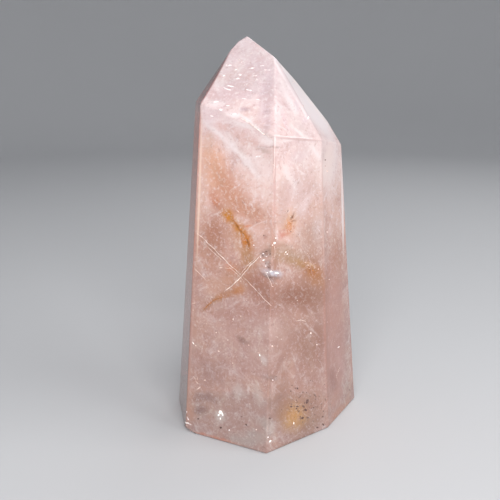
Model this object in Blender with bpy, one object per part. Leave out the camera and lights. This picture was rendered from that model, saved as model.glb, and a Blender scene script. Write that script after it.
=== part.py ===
"""A polished rose quartz point: one solid with seven long faces and a slanting tip.

It is made the way a stone is cut. A block is ground by one flat facet after another, and then
its edges are eased. Lengths are in metres, +Z is up, +X is to the right and +Y is to the back
as the stone's front arris is looked at. The origin is in the middle of the sawn foot, which
the stone stands on.
"""

import math
from collections import namedtuple

import bmesh
import bpy
from mathutils import Matrix, Vector

MM = 0.001

# Rough block that the stone is ground from
BLOCK_WIDTH = 80 * MM
BLOCK_HEIGHT = 130 * MM

# Eased edges
FOOT_CHAMFER = 0.6 * MM
ARRIS_ROUNDING = 0.36 * MM
ROUNDING_STEPS = 3
SHARPEST_SMOOTH_ANGLE = math.radians(4)

# Corners closer together than this are one corner, where four facets meet
SAME_CORNER = 0.3 * MM

# A long face is ground by the way that it faces, in degrees round from +X, how far it leans in
# towards the tip, in degrees, and its distance from the stone's axis at the foot.
LongFace = namedtuple("LongFace", "facing lean reach")
LONG_FACES = {
    "left": LongFace(190.8, 4.2, 24.0 * MM),
    "front_left": LongFace(241.9, 5.5, 21.6 * MM),
    "front_right": LongFace(307.8, 3.6, 18.5 * MM),
    "right": LongFace(331.0, 3.5, 19.3 * MM),
    "back_right": LongFace(25.2, 5.5, 25.5 * MM),
    "back": LongFace(93.2, 4.4, 23.1 * MM),
    "back_left": LongFace(150.0, 4.3, 24.5 * MM),
}

# A tip facet is ground by the way that it faces, how far it is tipped up from upright, and
# the height at which it would meet the stone's axis.
TipFacet = namedtuple("TipFacet", "facing tipped meets_axis")
TIP_FACETS = {
    "left_tip": TipFacet(190.9, 34.1, 110.7 * MM),
    "front_left_tip": TipFacet(254.7, 37.2, 98.4 * MM),
    "front_right_tip": TipFacet(311.5, 30.0, 100.2 * MM),
    "right_tip": TipFacet(337.7, 32.7, 98.6 * MM),
    "back_right_tip": TipFacet(10.8, 46.7, 95.9 * MM),
    "back_right_ease": TipFacet(22.0, 42.4, 96.7 * MM),
    "right_shoulder": TipFacet(27.0, 24.5, 113.6 * MM),
    "back_tip": TipFacet(84.0, 33.0, 105.6 * MM),
    "back_left_tip": TipFacet(164.2, 36.4, 110.4 * MM),
}

# A chip takes the corner where three facets meet, faces the given way and goes so deep.
Chip = namedtuple("Chip", "corner facing tipped depth")
CHIPS = {
    "worn_apex": Chip(("front_left_tip", "back_right_tip", "back_left_tip"), 185, 60.5, 0.75 * MM),
    "foot_corner": Chip(("left", "front_left", "foot"), 222, -38, 0.95 * MM),
}

ROSE_QUARTZ = (0.78, 0.55, 0.53, 1.0)
POLISH_ROUGHNESS = 0.12


def outward(facing, tipped):
    """The unit vector that faces the given way round and is tipped up from level."""
    turn = math.radians(facing)
    tip = math.radians(tipped)
    return Vector((math.cos(tip) * math.cos(turn), math.cos(tip) * math.sin(turn), math.sin(tip)))


def facet_planes():
    """Every main facet as a point on it and the way that it faces."""
    planes = {"foot": (Vector((0, 0, 0)), Vector((0, 0, -1)))}
    for name, face in LONG_FACES.items():
        at_foot = outward(face.facing, 0) * face.reach
        planes[name] = (at_foot, outward(face.facing, face.lean))
    for name, facet in TIP_FACETS.items():
        on_axis = Vector((0, 0, facet.meets_axis))
        planes[name] = (on_axis, outward(facet.facing, facet.tipped))
    return planes


def corner_of(planes, names):
    """The point where three facets meet, from their three plane equations."""
    points = [planes[name][0] for name in names]
    normals = [planes[name][1] for name in names]
    offsets = Vector(normal.dot(point) for normal, point in zip(normals, points))
    return Matrix(normals).inverted() @ offsets


def chip_planes(planes):
    """Each chip as a plane set in from the corner that it takes away."""
    chips = {}
    for name, chip in CHIPS.items():
        facing = outward(chip.facing, chip.tipped)
        chips[name] = (corner_of(planes, chip.corner) - facing * chip.depth, facing)
    return chips


def rough_block():
    """The block before it is ground, standing on the foot's plane."""
    block = bmesh.new()
    bmesh.ops.create_cube(block, size=1.0)
    bmesh.ops.scale(block, vec=(BLOCK_WIDTH, BLOCK_WIDTH, BLOCK_HEIGHT), verts=block.verts)
    bmesh.ops.translate(block, vec=(0, 0, BLOCK_HEIGHT / 2), verts=block.verts)
    return block


def grind(stone, point, facing):
    """Takes away all that stands out past one plane, and closes the stone there."""
    everything = stone.verts[:] + stone.edges[:] + stone.faces[:]
    cut = bmesh.ops.bisect_plane(
        stone, geom=everything, plane_co=point, plane_no=facing, clear_outer=True
    )
    rim = [part for part in cut["geom_cut"] if isinstance(part, bmesh.types.BMEdge)]
    if rim:
        bmesh.ops.edgeloop_fill(stone, edges=rim)


def mark_edges(stone):
    """Gives the foot's edges the whole chamfer, and every other edge its smaller rounding."""
    weight = stone.edges.layers.float.new("bevel_weight_edge")
    for edge in stone.edges:
        at_foot = all(vert.co.z < SAME_CORNER for vert in edge.verts)
        edge[weight] = 1.0 if at_foot else ARRIS_ROUNDING / FOOT_CHAMFER


def ground_stone():
    """The stone's mesh with sharp edges, after every facet and chip."""
    stone = rough_block()
    planes = facet_planes()
    facets = {name: plane for name, plane in planes.items() if name != "foot"}
    for point, facing in [*facets.values(), *chip_planes(planes).values()]:
        grind(stone, point, facing)
    bmesh.ops.remove_doubles(stone, verts=stone.verts, dist=SAME_CORNER)
    bmesh.ops.recalc_face_normals(stone, faces=stone.faces)
    mark_edges(stone)
    mesh = bpy.data.meshes.new("rose_quartz_point")
    stone.to_mesh(mesh)
    stone.free()
    return mesh


def ease_edges(point):
    """Rounds the arrises as hand polishing leaves them."""
    easing = point.modifiers.new("eased edges", "BEVEL")
    easing.limit_method = "WEIGHT"
    easing.width = FOOT_CHAMFER
    easing.segments = ROUNDING_STEPS


def quartz_material():
    """Pale pink quartz under a clear polish."""
    material = bpy.data.materials.new("rose_quartz")
    material.use_nodes = True
    shader = material.node_tree.nodes["Principled BSDF"]
    shader.inputs["Base Color"].default_value = ROSE_QUARTZ
    shader.inputs["Roughness"].default_value = POLISH_ROUGHNESS
    shader.inputs["Metallic"].default_value = 0.0
    return material


def clear_scene():
    """Removes whatever objects the scene starts with."""
    for item in list(bpy.data.objects):
        bpy.data.objects.remove(item, do_unlink=True)


def main():
    """Makes the one piece that the object has."""
    clear_scene()
    point = bpy.data.objects.new("rose_quartz_point", ground_stone())
    bpy.context.collection.objects.link(point)
    ease_edges(point)
    point.data.shade_smooth()
    point.data.set_sharp_from_angle(angle=SHARPEST_SMOOTH_ANGLE)
    point.data.materials.append(quartz_material())


main()
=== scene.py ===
"""The looks of a polished rose quartz point: its milky, stained and cracked quartz, and a plain stage."""

import math
from collections import namedtuple

import bmesh
import bpy
import numpy as np
from bpy.props import FloatProperty, FloatVectorProperty, IntProperty, PointerProperty
from mathutils import Matrix, Vector
from mathutils.bvhtree import BVHTree


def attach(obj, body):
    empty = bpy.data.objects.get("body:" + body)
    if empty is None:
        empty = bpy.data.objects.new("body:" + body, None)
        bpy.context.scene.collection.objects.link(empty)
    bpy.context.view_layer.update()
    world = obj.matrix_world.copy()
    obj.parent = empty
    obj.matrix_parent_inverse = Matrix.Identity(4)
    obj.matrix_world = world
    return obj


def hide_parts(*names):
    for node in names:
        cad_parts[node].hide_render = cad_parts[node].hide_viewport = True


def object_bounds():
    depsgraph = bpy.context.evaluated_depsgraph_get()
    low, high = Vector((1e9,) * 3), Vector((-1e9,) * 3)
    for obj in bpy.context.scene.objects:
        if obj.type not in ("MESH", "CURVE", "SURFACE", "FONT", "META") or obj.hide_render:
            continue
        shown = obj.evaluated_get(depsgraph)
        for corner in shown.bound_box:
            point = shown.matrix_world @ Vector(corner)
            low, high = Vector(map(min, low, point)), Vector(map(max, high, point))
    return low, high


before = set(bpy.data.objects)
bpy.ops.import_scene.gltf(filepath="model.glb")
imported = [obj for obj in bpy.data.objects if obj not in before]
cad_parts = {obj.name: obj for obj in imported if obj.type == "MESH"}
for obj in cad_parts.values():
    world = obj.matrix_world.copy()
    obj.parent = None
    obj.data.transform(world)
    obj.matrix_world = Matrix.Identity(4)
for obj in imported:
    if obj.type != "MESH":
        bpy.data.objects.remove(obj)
CAD_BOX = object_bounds()

bl_info = {
    "name": "Rose quartz point",
    "version": (1, 0, 0),
    "blender": (4, 5, 0),
    "location": "3D View > Sidebar > Rose quartz",
    "description": "Dresses a ground rose quartz point with its quartz, veils, cracks and stains",
    "category": "Add Mesh",
}

MM = 0.001
BODY = "root"
NODE = "rose_quartz_point"
QUARTZ_IOR = 1.544
FLAW_IOR = 1.3

# A flaw that the polished face cuts is level with it: its skin is this much past the face, in millimetres
FLUSH = -0.02

# The photograph's frame and camera, worked out from the stone's corners
PHOTO_SIDE = 500
CAMERA_PLACE = np.array([-4.9, -178.98, 93.45]) * MM
CAMERA_PITCH = math.radians(14.804)
CAMERA_LENS = 50.4
CAMERA_SENSOR = 36.0


def shade(red, green, blue):
    """A colour named from 0 to 255 as linear light, by the sRGB curve."""
    share = np.array([red, green, blue]) / 255
    light = np.where(share <= 0.04045, share / 12.92, ((share + 0.055) / 1.055) ** 2.4)
    return tuple(float(channel) for channel in light) + (1.0,)


def unit(vectors):
    """Vectors along the last axis, each over its own length."""
    return vectors / np.linalg.norm(vectors, axis=-1, keepdims=True)


# The ground stone, and what each pixel of the photograph shows inside it

def stone_mesh():
    """The packed node's points, and its triangles as point numbers."""
    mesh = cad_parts[NODE].data
    points, corners = np.zeros(len(mesh.vertices) * 3), np.zeros(len(mesh.loops), int)
    mesh.vertices.foreach_get("co", points)
    mesh.loops.foreach_get("vertex_index", corners)
    return points.reshape(-1, 3), corners.reshape(-1, 3)


STONE_POINTS, STONE_TRIANGLES = stone_mesh()
STONE_TREE = BVHTree.FromPolygons(STONE_POINTS.tolist(), STONE_TRIANGLES.tolist())


def stone_planes():
    """The planes that bound the convex stone: unit normals n and distances d, with n.p <= d for its points.

    The normals are those of its triangles past half a square millimetre, with like ones kept once.
    """
    first, second, third = STONE_POINTS[STONE_TRIANGLES].transpose(1, 0, 2)
    across = np.cross(second - first, third - first)
    doubled = np.linalg.norm(across, axis=1)
    normals = (across / doubled[:, None])[doubled > MM**2]
    normals = normals[np.unique(np.round(normals, 4), axis=0, return_index=True)[1]]
    return normals, (STONE_POINTS @ normals.T).max(axis=0)


STONE_NORMALS, STONE_DISTANCES = stone_planes()
MOST_FACES_AT_A_CORNER = 6


def kept_inside(points, margin):
    """The points, with each that is nearer to a face than the margin moved in along that face's normal."""
    held = points.copy()
    for _ in range(MOST_FACES_AT_A_CORNER):
        depths = STONE_DISTANCES[None, :] - held @ STONE_NORMALS.T
        nearest = depths.argmin(axis=1)
        short = np.clip(margin - depths[np.arange(len(held)), nearest], 0, None)
        held -= STONE_NORMALS[nearest] * short[:, None]
    return held


def sight_lines(pixels):
    """The unit rays from the camera through pixels of the photograph.

    Each goes one step forward, and across and down by the pixel's offset over the focal length
    in pixels, and is then turned down by the camera's pitch.
    """
    focal = PHOTO_SIDE * CAMERA_LENS / CAMERA_SENSOR
    across, down = ((np.asarray(pixels, float) - PHOTO_SIDE / 2) / focal).T
    ahead, dip = math.cos(CAMERA_PITCH), math.sin(CAMERA_PITCH)
    rays = np.stack([across, ahead - down * dip, -dip - down * ahead], axis=1)
    return unit(rays)


def face_at(pixel):
    """The plane of the triangle that a pixel's ray meets first, as its normal and its distance."""
    place, normal, _, _ = STONE_TREE.ray_cast(Vector(CAMERA_PLACE), Vector(sight_lines([pixel])[0]))
    if place is None:
        raise ValueError(f"The ray of pixel {pixel} misses the stone")
    return np.array(normal), place.dot(normal)


def seen(pixels, depths, face):
    """The points that pixels show at depths in millimetres under a face.

    A ray meets the face's plane, bends by Snell's law and runs on until it is that deep.
    """
    rays = sight_lines(pixels)
    normal, distance = face
    cosines = -(rays @ normal)
    entries = CAMERA_PLACE + rays * ((CAMERA_PLACE @ normal - distance) / cosines)[:, None]
    bent = np.sqrt(1 - (1 - cosines**2) / QUARTZ_IOR**2)
    inward = rays / QUARTZ_IOR + (cosines / QUARTZ_IOR - bent)[:, None] * normal
    return entries + inward * (np.asarray(depths) * MM / bent)[:, None]


def turned(degrees):
    """The unit steps along and across a line at an angle in the picture, counted from right and upwards."""
    turn = math.radians(degrees)
    return np.array([math.cos(turn), -math.sin(turn)]), np.array([math.sin(turn), math.cos(turn)])


# Closed thin sheets

SHEET_DEFAULTS = ((0, 0), 0.1, 0.5, 2)
Sheet = namedtuple("Sheet", "pixel half degrees depth dip thickness ragged edge", defaults=SHEET_DEFAULTS)


def ring_quads(outer, inner):
    """Quads between two rings of point numbers."""
    return np.stack([inner, np.roll(inner, -1), np.roll(outer, -1), outer], axis=-1)


def flake_faces(rings, spokes):
    """The faces of a closed flake: a fan at each middle, quads between rings, and one rim for both sides.

    Its points are the upper middle, the upper rings out to the rim, the lower rings short of it, and
    the lower middle. A fan's triangle is written as a quad with one corner twice.
    """
    upper = 1 + np.arange(rings * spokes).reshape(rings, spokes)
    lower = 1 + rings * spokes + np.arange((rings - 1) * spokes).reshape(rings - 1, spokes)
    last = 1 + (2 * rings - 1) * spokes
    sides = np.concatenate([lower, upper[-1:]])
    faces = [ring_quads(np.full(spokes, 0), upper[0])]
    faces += [ring_quads(near, far) for near, far in zip(upper[:-1], upper[1:])]
    faces += [ring_quads(far, near) for near, far in zip(sides[:-1], sides[1:])]
    faces.append(ring_quads(sides[0], np.full(spokes, last)))
    return np.concatenate(faces)


def two_sided(middle, lift):
    """A closed flake's points and faces, from its middle surface and how far its upper side is off that.

    Both are grids of rings from the middle out, and the lift is nought at the rim.
    """
    upper, lower = middle + lift, middle - lift
    sides = [upper[0, :1], upper[1:].reshape(-1, 3), lower[1:-1].reshape(-1, 3), lower[0, :1]]
    return np.concatenate(sides), flake_faces(len(middle) - 1, middle.shape[1])


def ragged_rim(angles, amount, chance):
    """A flake's radius round its rim: one, and ever lower sines of 2 to 13 waves a turn at chance phases."""
    waves = np.array([2, 3, 5, 8, 13])
    heights = amount * np.array([0.30, 0.27, 0.2, 0.15, 0.12])
    phases = chance.uniform(0, 2 * math.pi, len(waves))
    return 1 + (heights[:, None] * np.sin(waves[:, None] * angles + phases[:, None])).sum(axis=0)


def disc(rings, spokes):
    """The angles of a disc's spokes, and the radii of its rings from nought to one as a column."""
    return np.arange(spokes) * 2 * math.pi / spokes, np.arange(rings + 1)[:, None] / rings


def flake(sheet, chance, rings=5, spokes=36):
    """A thin closed flake that is laid out as the photograph shows it.

    At a radius r and an angle a it lies r R(a) (cos a, sin a) from its middle in the picture, with R
    its ragged rim, and as deep as its middle, plus its dip both ways and two low sines. Each side is
    off that surface by half the thickness times 1 - r^edge, so the sides meet at the rim: in a lens
    if the edge is 2, and with a flat top if it is large.
    """
    angles, radii = disc(rings, spokes)
    rim = ragged_rim(angles, sheet.ragged, chance)
    u, v = radii * rim * np.cos(angles), radii * rim * np.sin(angles)
    along, across = turned(sheet.degrees)
    pixels = sheet.pixel + u[..., None] * along * sheet.half[0] + v[..., None] * across * sheet.half[1]
    phases = chance.uniform(0, 2 * math.pi, 2)
    wave = np.sin(3 * u + phases[0]) + np.sin(4 * v + phases[1])
    depths = sheet.depth + u * sheet.dip[0] + v * sheet.dip[1] + 0.12 * sum(map(abs, sheet.dip)) * wave
    middle = seen(pixels.reshape(-1, 2), depths.reshape(-1), face_at(sheet.pixel)).reshape(*u.shape, 3)
    normal = unit(np.cross(middle[1, 0] - middle[0, 0], middle[1, spokes // 4] - middle[0, 0]))
    return two_sided(middle, normal * (sheet.thickness * MM / 2 * (1 - radii**sheet.edge))[..., None])


Crack = namedtuple("Crack", "path deepest lean width")


def crack_blade(crack, steps=28, layers=5):
    """A thin closed blade along a line of the photograph, which runs from a face into the stone.

    At u along it and w down it, it shows at the path's pixel plus w times its lean, at a depth
    between that of a flush flaw and its deepest. Its sides are off it by half its width, times the
    root of sin(pi u) and a falling share of w, so it is a wedge that is open at the face and closes
    inwards. Two low sines of u make its line waver.
    """
    path = np.array(crack.path, float)
    reach = np.concatenate([[0], np.cumsum(np.linalg.norm(np.diff(path, axis=0), axis=1))])
    u = np.linspace(0, 1, steps)
    line = np.stack([np.interp(u * reach[-1], reach, path[:, axis]) for axis in (0, 1)], axis=1)
    ahead = unit(np.gradient(line, axis=0))
    side = np.stack([-ahead[:, 1], ahead[:, 0]], axis=1)
    waver = min(1, reach[-1] / 120) * (0.5 * np.sin(9 * math.pi * u) + 0.3 * np.sin(23 * math.pi * u + 1))
    line = line + side * waver[:, None]
    w = np.linspace(0, 1, layers)
    pixels = line[:, None, :] + w[None, :, None] * np.array(crack.lean)
    depths = FLUSH + (crack.deepest - FLUSH) * w[None, :] * np.ones((steps, 1))
    face = face_at(tuple(path[len(path) // 2]))
    middle = seen(pixels.reshape(-1, 2), depths.reshape(-1), face).reshape(steps, layers, 3)
    normal = unit(np.cross(np.gradient(middle, axis=0), np.gradient(middle, axis=1)))
    open_share = 0.12 + 0.88 * (1 - w[None, :]) ** 6
    half = crack.width * MM / 2 * (0.15 + 0.85 * np.sin(math.pi * u)[:, None] ** 0.5) * open_share
    lift = normal * half[..., None]
    return np.concatenate([middle + lift, middle - lift]).reshape(-1, 3), shell_faces(steps, layers)


def shell_faces(steps, layers):
    """The faces of two grids of points that are one on the other, joined round their rims."""
    i, j = np.meshgrid(np.arange(steps - 1), np.arange(layers - 1), indexing="ij")
    corner = (i * layers + j).reshape(-1)
    top = np.stack([corner, corner + layers, corner + layers + 1, corner + 1], axis=-1)
    under = top[:, ::-1] + steps * layers
    grid = np.arange(steps * layers).reshape(steps, layers)
    rim = np.concatenate([grid[:-1, 0], grid[-1, :-1], grid[:0:-1, -1], grid[0, :0:-1]])
    ahead = np.roll(rim, -1)
    join = np.stack([ahead, rim, rim + steps * layers, ahead + steps * layers], axis=-1)
    return np.concatenate([top, under, join])


# Small shapes strewn in the stone

TRIES_A_PLACE = 12
LEAST_DEPTH = 0.4 * MM


def chance_turns(count, chance):
    """Random right-handed axes: two random directions made square to each other, and their cross product."""
    first, second = chance.normal(size=(2, count, 3))
    first = unit(first)
    second = unit(second - first * (first * second).sum(axis=1, keepdims=True))
    return np.stack([first, second, np.cross(first, second)], axis=2)


def grains(places, sizes, turns):
    """An eight-sided grain at every place: an octahedron's points times its three sizes, turned and moved."""
    tips = np.array([[1, 0, 0], [-1, 0, 0], [0, 1, 0], [0, -1, 0], [0, 0, 1], [0, 0, -1]], float)
    sides = np.array([[0, 2, 4], [2, 1, 4], [1, 3, 4], [3, 0, 4], [2, 0, 5], [1, 2, 5], [3, 1, 5], [0, 3, 5]])
    points = places[:, None, :] + np.einsum("nij,nkj->nki", turns, tips * sizes[:, None, :])
    offsets = np.arange(len(places))[:, None, None] * len(tips)
    return points.reshape(-1, 3), (sides[None] + offsets).reshape(-1, 3)


def places_under_faces(count, deepest, chance):
    """Random places in the stone: points of its box that are inside it and not too deep, more near faces."""
    low, high = np.array(CAD_BOX)
    tried = chance.uniform(low, high, (count * TRIES_A_PLACE, 3))
    depths = (STONE_DISTANCES[None, :] - tried @ STONE_NORMALS.T).min(axis=1)
    good = (depths > LEAST_DEPTH) & (depths < deepest * chance.uniform(0.15, 1, len(tried)))
    return tried[good][:count]


def joined(parts):
    """Arrays of points and of faces as one of each. A triangle becomes a quad with one corner twice."""
    starts = np.cumsum([0] + [len(points) for points, _ in parts[:-1]])
    as_quads = [faces if faces.shape[1] == 4 else faces[:, [0, 1, 2, 2]] for _, faces in parts]
    faces = np.concatenate([quads + start for quads, start in zip(as_quads, starts)])
    return np.concatenate([points for points, _ in parts]), faces


def placed(name, mesh):
    """A new object of a mesh, in the scene."""
    made = bpy.data.objects.new(name, mesh)
    bpy.context.scene.collection.objects.link(made)
    return made


def shade_all(mesh, smooth=True):
    """Shades all faces of a mesh smooth or flat."""
    mesh.polygons.foreach_set("use_smooth", np.full(len(mesh.polygons), smooth))


def inner_piece(name, parts, material, margin=0.12, smooth=True):
    """Makes one piece of closed sheets and grains, all of it a margin in mm under the stone's faces."""
    points, faces = joined(parts)
    points = np.clip(kept_inside(points, margin * MM), *CAD_BOX)
    mesh = bpy.data.meshes.new(name)
    mesh.from_pydata(points.tolist(), [], [tuple(dict.fromkeys(face)) for face in faces.tolist()])
    shell = bmesh.new()
    shell.from_mesh(mesh)
    bmesh.ops.recalc_face_normals(shell, faces=shell.faces)
    shell.to_mesh(mesh)
    shell.free()
    shade_all(mesh, smooth)
    mesh.materials.append(material)
    piece = placed(name, mesh)
    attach(piece, BODY)


# Materials

class Finish:
    """A material's node tree, with short ways to add the nodes that the stone's finishes are mixed from."""

    def __init__(self, name):
        self.material = bpy.data.materials.new(name)
        self.material.use_nodes = True
        self.tree = self.material.node_tree
        self.shader = self.tree.nodes["Principled BSDF"]
        self.output = self.tree.nodes["Material Output"]
        self.place = self.tree.nodes.new("ShaderNodeTexCoord").outputs["Object"]

    def node(self, kind, settings=None, **inputs):
        """Adds a node, sets its properties, and sets or links its inputs, named with _ for a space."""
        made = self.tree.nodes.new(kind)
        for key, value in (settings or {}).items():
            setattr(made, key, value)
        for key, value in inputs.items():
            self.feed(made.inputs[key.replace("_", " ")], value)
        return made

    def feed(self, socket, value):
        """Links a socket to another's output, or sets its plain value."""
        if isinstance(value, bpy.types.NodeSocket):
            self.tree.links.new(value, socket)
        else:
            socket.default_value = value

    def surface(self, **inputs):
        """Sets or links the shader's own sockets."""
        for key, value in inputs.items():
            self.feed(self.shader.inputs[key.replace("_", " ")], value)

    def noise(self, scale, detail=4.0, roughness=0.55, distortion=0.0, place=None):
        """Fractal noise, with its scale in waves per metre."""
        made = self.node(
            "ShaderNodeTexNoise", Vector=place or self.place, Scale=scale,
            Detail=detail, Roughness=roughness, Distortion=distortion,
        )
        return made.outputs["Fac"]

    def stretched(self, place, turn, stretch):
        """A place turned by three angles in degrees and drawn out along the turned X, for fibres that way."""
        made = self.node(
            "ShaderNodeMapping", {"vector_type": "TEXTURE"}, Vector=place,
            Rotation=[math.radians(angle) for angle in turn], Scale=(stretch, 1, 1),
        )
        return made.outputs[0]

    def product(self, first, second):
        """Two values multiplied, or the first alone where there is no second."""
        if second is None:
            return first
        made = self.node("ShaderNodeMath", {"operation": "MULTIPLY"})
        self.feed(made.inputs[0], first)
        self.feed(made.inputs[1], second)
        return made.outputs[0]

    def span(self, value, low, high, to_low=0.0, to_high=1.0):
        """A value eased from one span to another, and held at its ends."""
        made = self.node(
            "ShaderNodeMapRange", {"interpolation_type": "SMOOTHSTEP"}, Value=value,
            From_Min=low, From_Max=high, To_Min=to_low, To_Max=to_high,
        )
        return made.outputs[0]

    def blend(self, share, first, second):
        """Two colours mixed by a share from 0 to 1."""
        made = self.node("ShaderNodeMix", {"data_type": "RGBA"})
        self.feed(made.inputs[0], share)
        self.feed(made.inputs[6], first)
        self.feed(made.inputs[7], second)
        return made.outputs[2]

    def ramp(self, value, stops):
        """A colour read off a ramp of (place, colour) stops."""
        made = self.node("ShaderNodeValToRGB", Fac=value)
        elements = made.color_ramp.elements
        while len(elements) < len(stops):
            elements.new(0.5)
        for element, (place, colour) in zip(elements, stops):
            element.position = place
            element.color = shade(*colour)
        return made.outputs["Color"]

    def moved(self, amount, scale):
        """The place, moved about by up to an amount of noise, so that patches get uneven edges."""
        cloud = self.node("ShaderNodeTexNoise", Vector=self.place, Scale=scale, Detail=3.0, Roughness=0.6)
        centred = self.node("ShaderNodeVectorMath", {"operation": "SUBTRACT"})
        self.feed(centred.inputs[0], cloud.outputs["Color"])
        centred.inputs[1].default_value = (0.5, 0.5, 0.5)
        moved = self.node("ShaderNodeVectorMath", {"operation": "MULTIPLY_ADD"})
        self.feed(moved.inputs[0], centred.outputs[0])
        moved.inputs[1].default_value = (amount * 2, amount * 2, amount * 2)
        self.feed(moved.inputs[2], self.place)
        return moved.outputs[0]

    def drifted(self, colour, drift, within=None):
        """A colour with a tint that drifts over it as its noise does, held back where a share is given."""
        share = self.span(self.noise(*drift.noise), drift.starts, drift.full, 0.0, drift.most)
        return self.blend(self.product(share, within), colour, shade(*drift.colour))

    def spotted(self, colour, rows, place, within=None):
        """A colour with patches over it, held back where a share is given."""
        for spot in (Spot(*row) for row in rows):
            colour = self.blend(self.product(self.patch(spot, place), within), colour, shade(*spot.colour))
        return colour

    def patch(self, spot, place):
        """How much of a patch there is: its strength up to its core, and nought past its edge.

        The edge is an ellipsoid, laid along the face under the patch's pixel.
        """
        face = face_at(spot.pixel)
        along, across = turned(spot.degrees)
        middle, ahead = seen([spot.pixel, spot.pixel + along], [0, 0], face)
        outward = face[0]
        first = ahead - middle
        first = first - outward * (first @ outward)
        scale = np.linalg.norm(first)
        first /= scale
        second = np.cross(outward, first)
        side = seen([spot.pixel + across], [0], face)[0] - middle
        turn = Matrix([first, second, outward]).transposed().to_euler()
        radii = (spot.half[0] * scale, spot.half[1] * abs(side @ second), spot.deep * MM)
        local = self.node(
            "ShaderNodeMapping", {"vector_type": "TEXTURE"}, Vector=place,
            Location=tuple(middle), Rotation=turn, Scale=radii,
        )
        nearness = self.node("ShaderNodeTexGradient", {"gradient_type": "SPHERICAL"}, Vector=local.outputs[0])
        return self.span(nearness.outputs["Fac"], 0.0, 1.0 - spot.core, 0.0, spot.strength)


# What the photograph shows in the stone. Pixels and half sizes in pixels are the photograph's, depths are
# in millimetres, and a colour's red, green and blue run from 0 to 255.

MILK = (255, 248, 248)

# The quartz from the foot to the tip, as shares of the height and colours. It is duller towards the foot and
# paler towards the tip: partly the stone's own colour, partly painted light falling from above.
QUARTZ_AND_TOP_LIGHT_BY_HEIGHT = [
    (0.0, (190, 154, 145)), (0.25, (190, 155, 146)), (0.42, (198, 158, 145)),
    (0.58, (230, 194, 182)), (0.75, (246, 220, 214)), (1.0, (230, 208, 210)),
]

# A tint that drifts over the quartz as its noise does. The noise has waves per metre, detail, roughness and
# perhaps distortion. The tint starts at one value of it, and is full, at its most, at another.
Drift = namedtuple("Drift", "colour noise starts full most")
WARM = Drift((210, 164, 140), (85, 5, 0.65, 0.6), 0.42, 0.7, 0.4)
DUSK = Drift((170, 130, 124), (150, 6, 0.7, 0.8), 0.48, 0.72, 0.45)
CREAM = Drift((232, 214, 198), (210, 6, 0.75, 0.5), 0.5, 0.75, 0.4)
MILKY = Drift(MILK, (170, 6, 0.75, 1.0), 0.48, 0.75, 0.8)
CRUMB = Drift(MILK, (1300, 4, 0.75), 0.5, 0.68, 0.45)
PITS = Drift((150, 108, 98), (950, 4, 0.75), 0.46, 0.28, 0.42)

# A paler, cooler tip painted as the light that falls on it: its colour, the heights where it starts and is
# full, and its share there
PAINTED_TIP_LIGHT = (238, 230, 236)
PAINTED_TIP_LIGHT_HEIGHTS = (60 * MM, 82 * MM)
PAINTED_TIP_LIGHT_SHARE = 0.14

# A patch of colour on a face, and how far into the stone it goes
Spot = namedtuple("Spot", "pixel half degrees colour strength core deep", defaults=(0.1, 5))

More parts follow.
